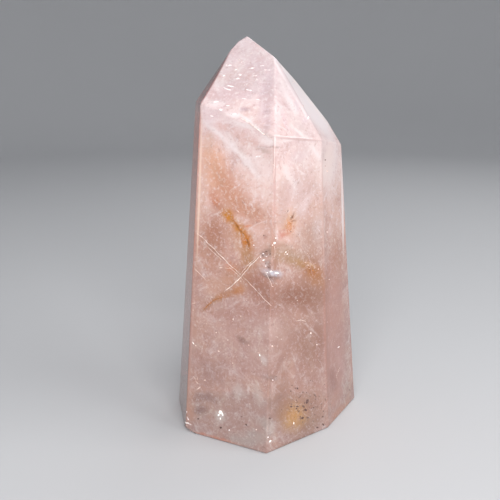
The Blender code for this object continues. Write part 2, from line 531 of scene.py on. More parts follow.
CLOUDS_AND_PAINTED_LIGHT = [
    # The tip and the pale end of the right side, partly painted light and shade: darker patches on the tip's
    # left facet and the upper front, and paler ones painted as light on the tip's right facets and the top of
    # the right side
    ((232, 52), (13, 10), 0, (222, 184, 184), 0.35),
    ((256, 68), (18, 14), 0, (200, 166, 174), 0.45),
    ((264, 100), (44, 12), 88, (200, 176, 186), 0.4),
    ((245, 95), (13, 9), 0, (204, 176, 180), 0.5),
    ((216, 95), (14, 9), 0, (202, 164, 160), 0.6),
    ((304, 132), (34, 24), 80, (218, 196, 194), 0.5),
    ((228, 92), (40, 17), 48, (208, 180, 182), 0.6),
    ((284, 88), (26, 7), -72, MILK, 0.45),
    ((279, 110), (30, 6), -88, (255, 244, 246), 0.45),
    ((312, 108), (62, 9), -57, (244, 232, 236), 0.85),
    ((300, 124), (34, 14), -60, (236, 222, 218), 0.4),
    ((297, 105), (9, 5), 60, (216, 208, 218), 0.4),
    ((330, 164), (46, 16), 86, (252, 240, 240), 0.9),
    ((334, 206), (28, 9), 90, (214, 184, 176), 0.2),
    ((300, 188), (50, 26), 80, (216, 196, 194), 0.6),
    ((324, 156), (9, 5), 60, (196, 178, 176), 0.5),
    # Milky wisps in that paler part
    ((292, 104), (17, 4), -62, MILK, 0.6),
    ((285, 120), (14, 3.5), -72, (230, 208, 214), 0.6),
    ((300, 131), (18, 3.5), -40, MILK, 0.65),
    ((289, 138), (12, 4), 20, MILK, 0.55),
    ((307, 117), (10, 5), 60, (226, 206, 214), 0.55),
    ((315, 151), (16, 5), -50, MILK, 0.55),
    ((297, 158), (18, 8), 30, (228, 210, 212), 0.55),
    ((288, 174), (20, 5), -60, MILK, 0.55),
    ((306, 202), (22, 7), 60, (248, 234, 236), 0.55),
    ((317, 186), (12, 6), -30, (222, 200, 196), 0.5),
    # Above the peach cloud, and that cloud
    ((212, 122), (26, 14), -35, (250, 228, 232), 0.6),
    ((262, 168), (34, 12), -45, (255, 236, 234), 0.6),
    ((246, 138), (26, 8), -30, (212, 166, 150), 0.5),
    ((222, 126), (14, 6), -20, (220, 172, 150), 0.45),
    ((214, 165), (46, 22), -78, (238, 178, 140), 0.85),
    ((230, 192), (46, 26), -60, (204, 146, 114), 0.78),
    ((214, 200), (18, 10), -60, (206, 136, 104), 0.55),
    ((202, 192), (40, 8), 88, (222, 180, 160), 0.5),
    # The stained middle
    ((214, 236), (42, 26), 80, (178, 126, 102), 0.85),
    ((252, 212), (32, 18), -20, (200, 148, 120), 0.75),
    ((244, 245), (34, 16), -60, (196, 146, 104), 0.7),
    ((236, 278), (30, 20), 35, (196, 148, 118), 0.65),
    ((214, 286), (24, 16), 40, (214, 172, 150), 0.55),
    ((258, 288), (34, 21), -62, (158, 106, 86), 0.75),
    ((238, 312), (38, 14), 8, (176, 128, 114), 0.5),
    ((300, 296), (48, 24), 5, (140, 92, 70), 0.85),
    ((272, 222), (28, 8), 88, (208, 164, 150), 0.5),
    ((276, 260), (22, 8), 88, (160, 116, 94), 0.6),
    ((292, 256), (36, 15), -18, (174, 142, 112), 0.75),
    ((318, 278), (20, 14), -40, (190, 138, 98), 0.6),
    ((336, 262), (40, 12), -85, (190, 138, 112), 0.65),
    ((310, 238), (36, 22), 60, (204, 174, 158), 0.45),
    ((318, 228), (26, 9), 84, (234, 218, 216), 0.7),
    # The dull lower half: its pale and dark marks, and broad darker patches painted as shade on the lower
    # faces
    ((280, 333), (26, 16), -40, (214, 184, 174), 0.6),
    ((222, 334), (34, 16), -20, (206, 172, 160), 0.45),
    ((262, 352), (20, 14), 0, (210, 182, 170), 0.5),
    ((306, 346), (44, 26), -60, (154, 112, 94), 0.65),
    ((319, 336), (38, 9), -86, (150, 108, 96), 0.5),
    ((243, 339), (11, 5), -20, (140, 106, 96), 0.6),
    ((210, 372), (26, 20), 30, (164, 130, 122), 0.45),
    ((204, 398), (22, 9), 5, (148, 114, 112), 0.55),
    ((200, 410), (12, 9), 0, (130, 98, 100), 0.55),
    ((239, 390), (13, 9), -75, (212, 198, 192), 0.6),
    ((258, 394), (18, 9), -70, (214, 198, 190), 0.6),
    ((250, 438), (44, 12), 14, (184, 172, 166), 0.65),
    ((268, 424), (16, 9), -20, (198, 186, 178), 0.55),
    ((190, 404), (26, 6), 88, (206, 150, 124), 0.4),
    ((293, 412), (25, 21), 60, (194, 142, 96), 0.7),
    ((312, 404), (20, 14), 60, (160, 122, 104), 0.5),
    ((340, 412), (22, 6), 42, (206, 140, 106), 0.6),
    ((314, 275), (120, 26), -88, (160, 118, 98), 0.46),
    ((308, 424), (30, 14), 28, (160, 124, 104), 0.6),
    ((306, 390), (54, 32), 80, (172, 126, 108), 0.34),
    ((333, 379), (13, 8), -65, (120, 86, 82), 0.65),
    ((341, 362), (20, 5), -68, (214, 186, 184), 0.5),
]

# Painted shade and painted highlights along the edges, thin in depth so that each keeps to its own face
EDGE_SHADE_AND_HIGHLIGHTS = [
    # Painted shade of the narrow left strip, which faces away from the light, and pale lines painted as
    # highlights on its arris
    ((193.5, 180), (120, 8), 88, (196, 142, 124), 0.6, 0.2, 1),
    ((186, 350), (110, 9), 87, (184, 130, 118), 0.6, 0.2, 1),
    ((192, 250), (40, 8), 88, (206, 154, 140), 0.4, 0.2, 0.8),
    ((213, 80), (46, 6), 58, (140, 104, 102), 0.85, 0.4, 0.5),
    ((199.5, 190), (95, 1.6), 88, (255, 228, 208), 0.8, 0.3, 1.5),
    ((192, 330), (80, 1.8), 87, (214, 178, 166), 0.4, 0.2, 1.5),
    ((187.4, 392), (38, 2.4), 86, (206, 164, 148), 0.6, 0.3, 0.8),
    # Painted shade low on the right face, and painted light at its top
    ((334, 340), (110, 16), -88, (196, 136, 120), 0.46, 0.4, 0.6),
    ((328, 162), (30, 9), 80, (255, 236, 230), 0.7, 0.2, 0.6),
    # Painted shade along eased arrises and beside them, which offsets their highlights, and lighter shade at
    # the top of the left strip
    ((274.4, 180), (60, 2.2), 90, (210, 178, 172), 0.7, 0.3, 1),
    ((274, 246), (34, 3.4), 90, (182, 138, 118), 0.5, 0.3, 1),
    ((300, 139.3), (30, 2), -4, (212, 188, 186), 0.75, 0.3, 1),
    ((283, 350), (62, 14), 88, (158, 118, 102), 0.34, 0.3, 0.6),
    ((281, 404), (34, 14), 88, (146, 108, 90), 0.36, 0.3, 0.6),
    ((269.6, 392), (56, 2.8), 89.5, (164, 128, 114), 0.45, 0.3, 1),
    ((198, 130), (28, 7), 88, (206, 146, 128), 0.5, 0.5, 0.5),
    ((283, 205), (36, 8), 88, (206, 176, 168), 0.45, 0.3, 0.6),
    ((323, 215), (80, 1.4), -88.8, (218, 188, 180), 0.6, 0.3, 1),
    ((327, 350), (74, 1.7), -88.8, (180, 138, 126), 0.6, 0.4, 1),
    # Painted light on the tip's right facets, painted shade along their arris, and painted highlights along
    # the bright right edges
    ((306, 98), (58, 11), -57, (255, 250, 252), 0.88, 0.5, 0.8),
    ((281, 66), (22, 8), -70, (255, 250, 252), 0.8, 0.4, 0.8),
    ((290, 84), (52, 2), -60.3, (216, 196, 198), 0.6, 0.3, 1),
    ((310, 102), (56, 1.5), -53.4, MILK, 0.9, 0.3, 1.5),
    ((342.5, 205), (66, 1.5), -89, MILK, 0.8, 0.3, 1.5),
]

STREAKS_AND_PAINTED_LIGHT = [
    # The dusky band beside the tip's arris, and the white veils of the tip and below it
    ((269, 96), (46, 8), 88, (196, 172, 176), 0.45, 0.3, 1),
    ((216, 104), (14, 5), 8, MILK, 0.65),
    ((234, 115), (12, 4), -5, MILK, 0.8),
    ((246, 119), (11, 2.4), -38, MILK, 0.85),
    ((260, 131), (18, 2.6), -42, MILK, 0.85),
    ((246, 126), (18, 3), -22, MILK, 0.6),
    ((268, 141), (16, 6), -10, MILK, 0.75),
    ((263, 150), (12, 4), -15, (176, 160, 148), 0.6),
    ((272, 147), (18, 1.8), 0, (164, 146, 142), 0.6),
    ((219, 134), (28, 4), -38, MILK, 0.7),
    ((240, 154), (28, 5), -43, MILK, 0.85),
    ((254, 172), (22, 4), -46, MILK, 0.75),
    ((258, 156.5), (7, 2), 8, MILK, 0.7),
    ((243, 82), (12, 2), 10, (250, 232, 236), 0.5),
    ((252, 62), (10, 1.6), 20, (244, 222, 226), 0.4),
    ((245, 109.5), (9, 3.6), -10, (164, 140, 154), 0.6),
    ((267, 112), (6, 4.5), 0, (168, 144, 150), 0.55),
    ((268, 125), (10, 4), 80, (178, 152, 156), 0.45),
    ((304, 112), (13, 2), -68, MILK, 0.7),
    ((326, 171), (6, 5), 40, MILK, 0.7),
    # Gold and brown iron stains
    ((216, 203), (18, 6), -50, (200, 128, 88), 0.55),
    ((228, 216), (12, 9), -38, (214, 138, 36), 0.95),
    ((239, 228), (17, 9), -50, (210, 138, 52), 0.85),
    ((246, 240), (15, 9), -62, (208, 124, 26), 0.95),
    ((246, 258), (16, 8), -80, (186, 134, 82), 0.6),
    ((239, 228), (16, 2), -54, (150, 88, 30), 0.7),
    ((248, 243), (8, 1.8), -60, (132, 76, 26), 0.7),
    ((247, 226), (9, 2.2), 5, (222, 136, 84), 0.6),
    ((289, 222), (19, 12), 74, (228, 174, 128), 0.65),
    ((289, 227), (10, 8), 50, (222, 146, 92), 0.66),
    ((278, 214), (9, 1.8), -20, (206, 150, 128), 0.6),
    ((292.6, 216.5), (6, 1.8), 58, (112, 62, 42), 0.75),
    ((293, 221), (4, 1.2), 30, (140, 84, 54), 0.6),
    ((283, 234), (13, 6), 20, (212, 140, 120), 0.75),
    ((265, 237), (5, 4), 60, (156, 106, 86), 0.5),
    ((302, 264), (21, 6), -20, (188, 144, 96), 0.7),
    ((313, 272), (18, 13), -40, (182, 118, 66), 0.85),
    ((312, 271), (7, 3), -40, (170, 98, 46), 0.6),
    ((311, 264), (8, 2), -20, (232, 200, 168), 0.6),
    ((239, 290), (10, 8), 30, (194, 124, 62), 0.7),
    ((224, 296), (21, 6), 22, (188, 122, 64), 0.7),
    ((209, 305), (14, 4), 42, (176, 112, 66), 0.65),
    ((231, 267), (11, 7), -35, (222, 146, 110), 0.65),
    ((294, 418), (21, 18), 70, (214, 164, 96), 0.6),
    # Dark smudges beside the glints, with the dark patch under the largest painted as its shadow, and three
    # pale halos painted as the glow round glints
    ((265, 253), (8, 5), 20, (100, 82, 76), 0.75),
    ((268, 265), (9, 4), -62, (120, 96, 88), 0.6),
    ((272, 279), (8, 3.4), -30, (122, 104, 102), 0.6),
    ((272, 378), (9, 5), 0, (136, 120, 118), 0.55),
    ((273, 277), (13, 4), -8, (104, 88, 88), 0.6),
    ((274.5, 273), (12, 5), -10, (212, 216, 228), 0.9),
    ((220, 416), (8, 9), 0, (222, 212, 206), 0.65),
    ((264, 360), (9, 5), -65, (224, 214, 208), 0.65),
    ((215, 438), (36, 2.2), -16, (212, 146, 124), 0.7, 0.3),
    ((297, 440), (34, 2.4), 23, (150, 112, 98), 0.6, 0.3),
]

# Fine white fibres in the quartz: how their direction is turned, their waves per metre across, and their
# strength. They are so many times longer than wide.
FIBRE_LENGTH = 7
FIBRES = [((0, 42, 25), 520, 0.7), ((20, -35, -40), 640, 0.6), ((60, 75, 10), 760, 0.5)]

# A crack has a path of pixels, a depth that it reaches, the pixels that it leans by on the way, and a width
CRACKS = [
    ([(195, 231), (207, 242), (222, 257), (232, 267), (243, 276.5)], 4, (1, -2), 0.15),
    ([(243, 276.5), (255, 289), (266, 301), (272, 306)], 4, (1, -2), 0.13),
    ([(200, 240), (212, 251), (223, 261)], 3, (1, -2), 0.08),
    ([(228, 266), (237, 274), (243, 280)], 3, (1, -2), 0.08),
    ([(262, 254), (250, 266), (243, 275), (235, 283), (224, 292)], 4, (-1, -1), 0.26),
    ([(256, 258), (247, 266), (239, 276)], 3, (-1, -1), 0.1),
    ([(194, 268), (200, 274), (206, 280)], 3, (1, -1), 0.08),
    ([(225, 268), (229, 268.4), (233, 268)], 3, (0, 1), 0.1),
    ([(274.5, 246), (275, 251), (274.8, 257)], 3, (0.5, 0), 0.14),
    ([(264.5, 270), (269, 279), (273, 287)], 3, (1, 0), 0.08),
    ([(296, 321), (301, 320), (306, 321.5)], 3, (0, 1), 0.1),
    ([(336, 377), (340, 367)], 3, (0.5, 0), 0.12),
    ([(240, 117), (251, 124), (262, 133), (273, 139)], 5, (1, 3), 0.2),
]
RUSTY_CRACKS = [
    ([(232, 219.5), (238, 226), (243, 233), (248, 241), (251, 247)], 4, (2, 2), 0.18),
    ([(223, 297), (214, 300), (207, 306), (203, 311)], 4, (0, 3), 0.16),
    ([(291, 219), (294, 214.5), (295, 211)], 3, (1, 0), 0.1),
    ([(286.5, 229), (286, 225), (288.5, 222.5), (291.5, 224), (292, 228), (289.5, 231)], 2, (0.5, 0), 0.12),
    ([(278, 213), (282, 210), (286, 212), (288, 216)], 2, (0.5, 0), 0.06),
    ([(304, 266.5), (309, 269), (314, 271), (317, 275.5)], 3, (0, 1), 0.12),
    ([(216, 197), (221, 204), (226, 212), (232, 219.5)], 3, (2, 2), 0.05),
]

# A veil or a stain is a sheet: its middle pixel, half sizes, angle, depth and dip both ways, and perhaps its
# thickness and how ragged it is.
VEILS = [
    ((239, 152), (48, 9), -40, 2.4, (1.0, 1.6)),
    ((258, 130), (38, 6), -24, 1.8, (0.4, 1.2)),
    ((216, 108), (15, 8), 10, 1.5, (0.3, 0.8)),
    ((300, 120), (36, 9), -60, 2.5, (1, 2)),
    ((320, 172), (20, 13), 40, 3.0, (1.5, 1.5)),
    ((276, 328), (24, 10), 25, 2.5, (1, 1.5)),
    ((238, 389), (11, 7), -30, 2.0, (0.6, 0.6)),
    ((262, 390), (8, 11), 0, 2.5, (0.6, 0.6)),
    ((257, 435), (24, 9), 12, 1.6, (0.4, 0.8)),
    ((300, 250), (30, 12), 60, 4.0, (2, 2)),
    ((215, 345), (22, 10), 50, 4.0, (2, 2)),
    ((310, 390), (18, 10), -40, 5.0, (2, 2)),
]

STAINS = [
    ((225, 214), (16, 5), -38, 1.2, (0.4, 1.2), 0.1, 0.8),
    ((241, 234), (17, 5), -56, 1.5, (0.4, 1.6), 0.1, 0.8),
    ((250, 256), (14, 4), -65, 1.8, (0.4, 1.4), 0.1, 0.9),
    ((290, 223), (16, 6), 62, 2.2, (0.6, 2.0), 0.1, 0.8),
    ((311, 274), (15, 6), -10, 2.0, (0.5, 2.0), 0.1, 0.9),
    ((225, 295), (20, 4), 12, 1.0, (0.3, 1.2), 0.1, 0.9),
    ((293, 419), (10, 10), 30, 1.6, (0.5, 1.2), 0.1, 0.9),
    ((232, 266), (5, 4), 0, 0.8, (0.2, 0.6), 0.1, 0.6),
    ((213, 160), (22, 10), -75, 3.5, (1.0, 2.5), 0.1, 0.8),
]

# A glint or a speck as the pixel of its middle, its half sizes in pixels and its angle. The glints are
# painted highlights: near-white flaws in the faces that stand in for light off cracks.
GLINTS = [
    (276.5, 273, 3.0, 0.9, -4), (271, 271.4, 1.7, 1.1, 20), (267.5, 272.5, 1.0, 0.8, 0),
    (274.2, 243, 1.7, 1.4, 60), (275.4, 238, 0.7, 1.0, -15), (272.6, 245, 1.2, 0.5, 40),
    (263.8, 260, 1.5, 0.8, 30), (285.5, 252, 1.4, 0.6, 30), (220.5, 412, 2.9, 2.2, 70),
    (222.6, 414, 1.2, 2.4, 20), (218.8, 415, 1.2, 1.6, 0), (220.6, 418.5, 0.7, 1.8, 0),
    (270, 441, 1.9, 1.2, 60), (185.5, 422.5, 2.2, 0.8, -35), (293.5, 423, 0.6, 1.6, 0),
    (193.5, 343, 2.0, 0.6, -55), (308, 118, 0.8, 2.0, -20), (310.5, 333, 0.8, 1.1, 0),
    (260, 355, 1.8, 0.6, -70),
]
# The tip's soft strokes and the paler crumbs
SOFT_GLINTS = [
    (263.4, 253.6, 1.4, 0.8, 20), (266.8, 256.4, 0.9, 0.8, 0), (261, 257, 0.8, 0.7, 0),
    (268.5, 262, 0.8, 0.6, 0), (266, 266, 0.7, 0.9, 0), (287, 254, 1.0, 0.7, 0), (268, 437, 1.0, 0.8, 0),
    (188, 418, 2.4, 0.7, -60), (190, 424, 1.8, 0.8, -20), (187, 412, 1.6, 0.5, 80),
    (229.5, 430, 1.0, 0.8, 0), (272.5, 380, 0.8, 0.7, 0), (338.5, 347, 1.6, 0.6, 45),
    (254, 245, 0.8, 0.9, 30), (229, 65.5, 3.4, 0.8, 0), (252, 68.5, 4.0, 0.6, 12), (240, 75, 2.2, 1.3, 0),
    (238, 79, 2.4, 0.6, 10), (231, 86.5, 4.2, 0.7, -12), (229, 90, 4.4, 0.7, -22), (249, 90.3, 3.6, 0.7, -8),
    (226, 89, 3.0, 0.5, -30), (257, 79.5, 0.8, 0.7, 0), (268, 70.3, 4.6, 0.4, 0), (216, 102, 3.6, 0.8, 5),
    (221, 110, 2.0, 1.1, 0), (234, 114.5, 3.6, 1.0, 10), (246, 85, 2.8, 0.4, 15), (243, 62, 2.6, 0.4, 25),
    (258, 156.5, 3.4, 0.6, 8), (262, 66, 2.6, 0.4, 8), (236, 70, 1.8, 0.4, 20), (255, 76, 2.4, 0.4, 5),
    (244, 99, 2.8, 0.4, -10), (224, 76, 1.6, 0.5, 30), (258, 100, 2.2, 0.4, -5), (212, 116, 2.4, 0.6, -20),
    (228, 106, 2.6, 0.5, -8),
]
FAINT_GLINTS = [
    (270, 231, 0.8, 1.2, 0), (284.5, 254, 1.0, 0.7, 0), (238, 211, 3.0, 0.7, -45), (245.5, 213, 1.0, 0.6, 0),
    (221, 267.5, 2.2, 0.8, 0), (236.5, 264, 1.0, 0.8, 0), (241, 281, 1.4, 0.5, 10), (212, 297, 1.1, 1.0, 0),
    (329, 279.5, 0.9, 0.9, 0), (327, 232, 1.0, 0.8, 0), (297, 300.5, 0.8, 0.8, 0),
    (256.5, 429.5, 0.9, 0.8, 0), (187, 425, 1.1, 0.7, 0), (194, 303, 1.0, 2.2, 90),
    (193.5, 310, 1.2, 0.6, 0), (196, 325, 1.6, 0.6, 0), (196, 345.5, 1.0, 0.6, -40), (206, 340, 1.2, 0.9, 0),
    (228, 340, 1.0, 0.8, 0), (216.5, 332.5, 0.7, 0.7, 0), (233.5, 319, 0.9, 0.9, 0), (241, 316, 0.9, 0.7, 0),
    (249, 345, 0.7, 0.9, 0), (219, 351, 1.6, 0.8, -20), (233, 363, 0.8, 0.6, 0), (277, 337, 1.5, 0.8, -30),
    (281, 339, 1.0, 0.7, 0), (272, 346, 1.4, 1.0, 0), (316.5, 344.5, 1.0, 0.9, 0), (205, 380, 1.3, 1.0, 0),
    (195, 378, 3.2, 0.5, -50), (197, 382, 3.2, 0.4, -50), (199, 388, 3.6, 0.7, 38), (250, 404, 1.3, 0.8, 0),
    (303, 106, 0.7, 1.4, 0), (308, 265, 1.6, 0.6, -10), (314, 265.5, 1.4, 0.6, 20),
    (305, 262.5, 1.2, 0.5, 0), (318, 269, 0.8, 0.6, 0), (309, 268.5, 0.9, 0.5, 0), (311, 264, 0.8, 0.5, 0),
    (325, 166, 0.8, 0.8, 0), (327, 171, 1.3, 1.0, 0), (199.3, 173.5, 0.7, 0.9, 0), (195.6, 160, 0.6, 0.7, 0),
]

SPECKS = [
    (307, 401.5, 2.6, 1.7, 60), (291, 406.5, 1.8, 0.7, -10), (303, 406, 1.6, 0.8, -10),
    (302, 418, 1.7, 1.2, 0), (307.5, 417.5, 1.6, 0.8, 0), (323, 424.5, 2.2, 0.8, -45),
    (317, 427.3, 1.6, 0.8, 10), (322.5, 416.5, 1.0, 0.7, 0), (323, 411, 0.8, 0.7, 0),
    (321, 408, 0.7, 0.6, 0), (269.5, 418, 1.4, 0.8, -10), (246.5, 424.5, 1.8, 0.9, -45),
    (221, 427.5, 1.3, 1.1, 0), (198.5, 418.5, 1.2, 1.1, 0), (242, 416.5, 0.9, 0.6, 0),
    (195, 433, 0.9, 1.1, 0), (290.5, 391, 0.8, 0.6, 0), (295, 388, 0.7, 0.6, 0), (300, 396, 0.7, 0.6, 0),
    (315.5, 396.5, 0.8, 0.7, 0), (325, 399, 0.7, 0.6, 0), (287.5, 211, 1.4, 0.35, 70),
    (266.5, 251.5, 1.4, 0.7, 20), (270.5, 254, 1.2, 0.6, 40), (325, 160, 0.8, 0.7, 0),
    (276, 376.5, 1.2, 0.5, 20), (310, 341, 0.7, 0.6, 0), (349.5, 390, 0.8, 0.5, -40),
    (269, 267.5, 0.9, 0.5, -50), (266, 263.4, 0.7, 0.5, 0), (270.6, 277.4, 1.4, 0.5, -30),
    (262.5, 255.2, 0.7, 0.5, 0), (290.5, 231.5, 0.7, 0.4, 0), (264, 235.5, 0.7, 0.8, 0),
    (297, 402, 0.7, 0.5, 0), (311, 408, 0.6, 0.5, 0), (299, 411, 0.6, 0.5, 0), (313, 421, 0.7, 0.5, 0),
]

# The finer specks round them: how many, and their middle, spread and limits in pixels
SPECK_CLUSTER = 70
SPECK_MIDDLE = (308, 406)
SPECK_SPREAD = (13, 10)
SPECK_LIMITS = ((280, 380), (330, 424))


# Settings

class QuartzSettings(bpy.types.PropertyGroup):
    """How the stone itself looks."""
    see_through: FloatProperty(
        name="See-through share", description="How much of the light passes the milky surface",
        default=0.45, min=0.0, max=1.0, subtype="FACTOR",
    )
    polish: FloatProperty(
        name="Polish roughness", description="How much the polish scatters a reflection",
        default=0.08, min=0.0, max=1.0, subtype="FACTOR",
    )
    inner_tint: FloatVectorProperty(
        name="Inner tint", description="The colour that light takes on in the stone",
        default=(1.0, 0.79, 0.75, 1.0), size=4, min=0.0, max=1.0, subtype="COLOR",
    )
    tint_density: FloatProperty(
        name="Tint density", description="How soon light takes on the tint, per metre", default=45.0, min=0.0,
    )


class InclusionSettings(bpy.types.PropertyGroup):
    """What lies in the stone besides the features of the photograph."""
    fleck_count: IntProperty(
        name="Pale flecks", description="Tiny pale flaws in the stone", default=1500, min=0,
    )
    dash_count: IntProperty(
        name="Faint dashes", description="Short pale flaws in the faces", default=700, min=0,
    )
    grit_count: IntProperty(
        name="Dark grit", description="Tiny dark grains near the foot", default=90, min=0,
    )
    hidden_veils: IntProperty(
        name="Veils at the back", description="Healed cracks out of view", default=26, min=0,
    )
    fleck_size: FloatProperty(
        name="Fleck size", description="Half length of an ordinary fleck", default=0.28 * MM,
        min=0.0, precision=5, subtype="DISTANCE", unit="LENGTH",
    )
    seed: IntProperty(name="Seed", description="Another seed strews the flaws another way", default=11, min=0)


class StageSettings(bpy.types.PropertyGroup):
    """The floor and the light."""
    floor_colour: FloatVectorProperty(
        name="Floor", description="Colour of the plain floor",
        default=(0.48, 0.48, 0.49, 1.0), size=4, min=0.0, max=1.0, subtype="COLOR",
    )
    key_power: FloatProperty(
        name="Key light", description="Power of the large soft light in watts", default=3.65, min=0.0,
    )
    side_power: FloatProperty(
        name="Side light", description="Power of the soft light at the right in watts", default=1.12, min=0.0,
    )
    back_power: FloatProperty(
        name="Back light", description="Power of the weak light behind in watts", default=0.5, min=0.0,
    )
    room_light: FloatProperty(
        name="Room light", description="Strength of the even light", default=0.62, min=0.0,
    )


# Finishes

def quartz_finish(settings):
    """Milky rose quartz, paler upwards partly as painted light, with clouds, fibres, streaks and fine grain
    under a hand polish, and painted shade and highlights along its edges.
    """
    finish = Finish("polished_rose_quartz")
    height = finish.node("ShaderNodeSeparateXYZ", Vector=finish.moved(5 * MM, 45)).outputs["Z"]
    colour = finish.ramp(finish.span(height, 0.0, 100 * MM), QUARTZ_AND_TOP_LIGHT_BY_HEIGHT)
    upper = finish.span(height, 30 * MM, 70 * MM, 0.5, 1.0)
    for drift in (WARM, DUSK, CREAM):
        colour = finish.drifted(colour, drift)
    colour = finish.drifted(colour, MILKY, upper)
    # The clouds of the quartz, with patches of painted light and shade among them
    colour = finish.spotted(colour, CLOUDS_AND_PAINTED_LIGHT, finish.moved(2 * MM, 150))
    streak_place = finish.moved(0.7 * MM, 420)
    grain = finish.span(finish.noise(900, 4, 0.65), 0.35, 0.55, 0.5, 1.0)
    # Streaks and stains, with painted glow round the glints and painted shadow under the largest
    colour = finish.spotted(colour, STREAKS_AND_PAINTED_LIGHT, streak_place, grain)
    for turn, scale, strength in FIBRES:
        fibre = finish.noise(scale, 4, 0.7, 0.4, finish.stretched(streak_place, turn, FIBRE_LENGTH))
        share = finish.product(finish.span(fibre, 0.58, 0.76, 0.0, strength), upper)
        colour = finish.blend(share, colour, shade(*MILK))
    colour = finish.drifted(colour, CRUMB, upper)
    colour = finish.drifted(colour, PITS)
    # Painted light: the tip paler and cooler
    colour = finish.blend(finish.span(height, *PAINTED_TIP_LIGHT_HEIGHTS, 0.0, PAINTED_TIP_LIGHT_SHARE), colour, shade(*PAINTED_TIP_LIGHT))
    # Painted shade and highlights along the edges
    colour = finish.spotted(colour, EDGE_SHADE_AND_HIGHLIGHTS, finish.place)
    bump = finish.node("ShaderNodeBump", Height=finish.noise(900, 3, 0.5), Strength=0.04, Distance=0.1 * MM)
    finish.surface(
        Base_Color=colour, Roughness=settings.polish, IOR=QUARTZ_IOR,
        Transmission_Weight=settings.see_through, Normal=bump.outputs[0],
    )
    tint = finish.node("ShaderNodeVolumeAbsorption", Color=settings.inner_tint, Density=settings.tint_density)
    finish.tree.links.new(tint.outputs[0], finish.output.inputs["Volume"])
    return finish.material


# A flaw's finish: two colours, roughness, waves per metre, and perhaps how it is worn through. That is two
# values of its noise, and how solid it is at each.
Flaw = namedtuple("Flaw", "bright dim roughness waves worn", defaults=(None,))
FLAWS = {
    "white_veil": Flaw(MILK, (244, 214, 208), 0.6, 700, (0.42, 0.66, 0.0, 0.8)),
    "crack_light": Flaw((250, 234, 226), (230, 202, 190), 0.4, 900, (0.3, 0.6, 0.3, 0.95)),
    # Near white, painted as the glint of light off the cracks
    "bright_flaw": Flaw((255, 255, 252), (255, 236, 228), 0.2, 1500),
    "soft_flaw": Flaw(MILK, (250, 232, 230), 0.4, 1100, (0.32, 0.6, 0.25, 0.9)),
    "faint_flaw": Flaw((240, 216, 206), (214, 182, 170), 0.4, 900, (0.3, 0.6, 0.15, 0.85)),
    "iron_stain": Flaw((222, 140, 52), (184, 108, 48), 0.7, 900, (0.38, 0.62, 0.0, 0.95)),
    "rusty_crack": Flaw((196, 124, 52), (150, 88, 34), 0.6, 900, (0.3, 0.6, 0.1, 0.9)),
    "pale_fleck": Flaw(MILK, (255, 226, 218), 0.3, 1500),
    "dark_speck": Flaw((110, 84, 78), (70, 52, 50), 0.6, 1500),
}


def flaw_finish(name):
    """A flaw in the stone: two colours mixed by noise, and clear where another noise has worn it through."""
    finish, flaw = Finish(name), FLAWS[name]
    mixed = finish.span(finish.noise(flaw.waves, 4, 0.6), 0.35, 0.65)
    colour = finish.blend(mixed, shade(*flaw.bright), shade(*flaw.dim))
    finish.surface(Base_Color=colour, Roughness=flaw.roughness, IOR=FLAW_IOR)
    if flaw.worn:
        finish.surface(Alpha=finish.span(finish.noise(flaw.waves * 0.8, 5, 0.65, 0.8), *flaw.worn))
    return finish.material


def floor_finish(colour):
    """A plain pale matt floor with a hardly visible unevenness."""
    finish = Finish("plain_floor")
    worn = (*(channel * 0.97 for channel in colour[:3]), 1.0)
    finish.surface(Base_Color=finish.blend(finish.noise(6, 3), colour, worn), Roughness=0.85)
    return finish.material


# Pieces

DOT_THICKNESS = 0.5

DASH_LENGTH = 0.3 * MM
DASH_WIDTH = 0.05 * MM
DASHES_LOST_AT_FOOT = 0.8

# The veils at the back: how deep and how far to the front they may be, and their half sizes in millimetres
HIDDEN_DEEPEST = 14 * MM
HIDDEN_FOREMOST = -4 * MM
HIDDEN_HALF_SIZES = (2.5, 8)
HIDDEN_HALF_THICKNESS = 0.05 * MM

# The flecks lie no deeper than this. The grit lies near the foot, below heights drawn between two in
# millimetres. A shape is half sizes as shares of the size.
FLECK_DEEPEST = 7 * MM
FLECK_SHAPE = np.array([1, 0.5, 0.12])
GRIT_DEEPEST = 5 * MM
GRIT_HEIGHTS = (6, 26)
GRIT_SIZE = 0.16 * MM
GRIT_SHAPE = np.array([1, 0.8, 0.6])
SPECK_SHAPE = np.array([1.25, 0.8])

# How much wider a soft flaw and a speck are than in their rows, and how far the veils keep under the faces
SOFT_WIDER = 1.15
SPECK_WIDER = 1.2
VEIL_MARGIN = 0.3


def polished_stone(material):
    """The packed node's own shape as a merged copy, with big faces flat and eased edges smooth."""
    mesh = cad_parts[NODE].data.copy()
    mesh.name = "polished_stone"
    shell = bmesh.new()
    shell.from_mesh(mesh)
    bmesh.ops.remove_doubles(shell, verts=shell.verts, dist=0.001 * MM)
    shell.to_mesh(mesh)
    shell.free()
    shade_all(mesh)
    mesh.materials.clear()
    mesh.materials.append(material)
    stone = placed("polished_stone", mesh)
    even = stone.modifiers.new("flat faces", "WEIGHTED_NORMAL")
    even.mode = "FACE_AREA"
    even.weight = 50
    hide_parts(NODE)
    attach(stone, BODY)


def sheets(rows, chance):
    """Flakes from rows of a sheet's values."""
    return [flake(Sheet(*row), chance) for row in rows]


def blades(rows):
    """Blades from rows of a crack's values."""
    return [crack_blade(Crack(*row)) for row in rows]


def dots(rows, chance, wide=1.0):
    """Small flat-topped flaws that the polished face cuts, from rows of a pixel, half sizes and an angle."""
    shape = {"depth": FLUSH + DOT_THICKNESS / 2, "thickness": DOT_THICKNESS, "ragged": 0.35, "edge": 16}
    return [
        flake(Sheet((x, y), (half_x * wide, half_y * wide), angle, **shape), chance, rings=3, spokes=12)
        for x, y, half_x, half_y, angle in rows
    ]


